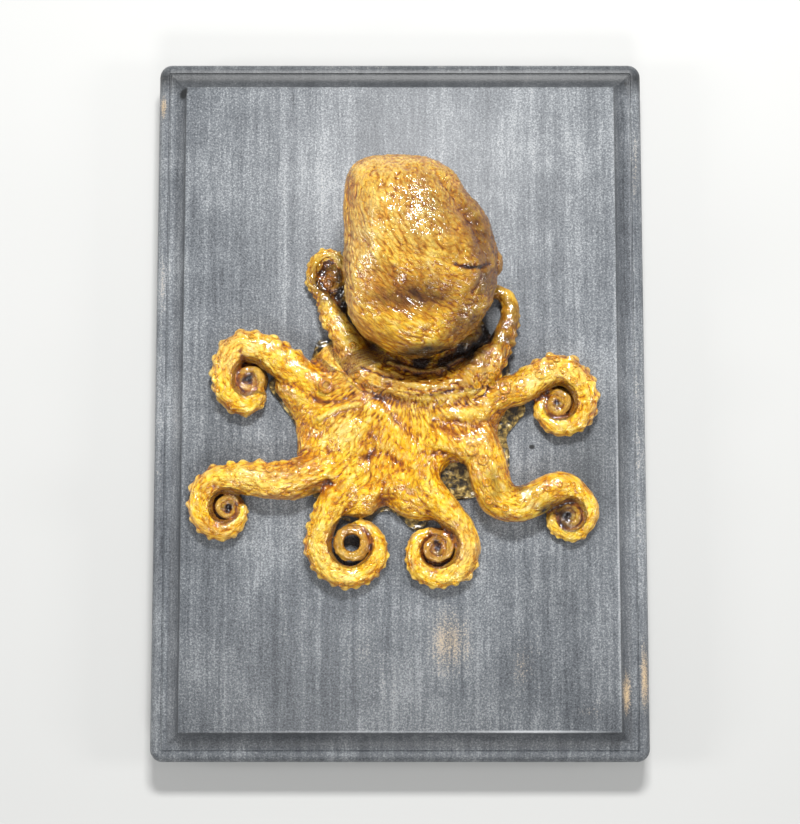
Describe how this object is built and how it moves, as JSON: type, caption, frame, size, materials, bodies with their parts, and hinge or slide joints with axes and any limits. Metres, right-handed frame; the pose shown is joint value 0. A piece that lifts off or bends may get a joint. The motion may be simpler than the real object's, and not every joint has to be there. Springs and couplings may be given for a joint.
{
  "type": "mounted whole octopus",
  "caption": "Whole small octopus, dried and varnished with its arms curled in spirals, fixed to an upright rectangular stained wooden plaque with a routed edge.",
  "frame": {"origin": "middle of the plaque's flat underside", "axes": "+X to the viewer's right and +Y to the plaque's top edge, as it is seen from the octopus's side; +Z out of the plaque's face"},
  "size_m": [0.128, 0.183, 0.0434],
  "materials": {
    "stained_wood": "pine with a thin slate-black stain, worn to tan wood at the edges, satin",
    "dried_skin": "wrinkled golden-amber skin under a glossy clear varnish"
  },
  "bodies": {
    "root": {"board": "stained_wood", "octopus": "dried_skin"}
  },
  "joints": []
}
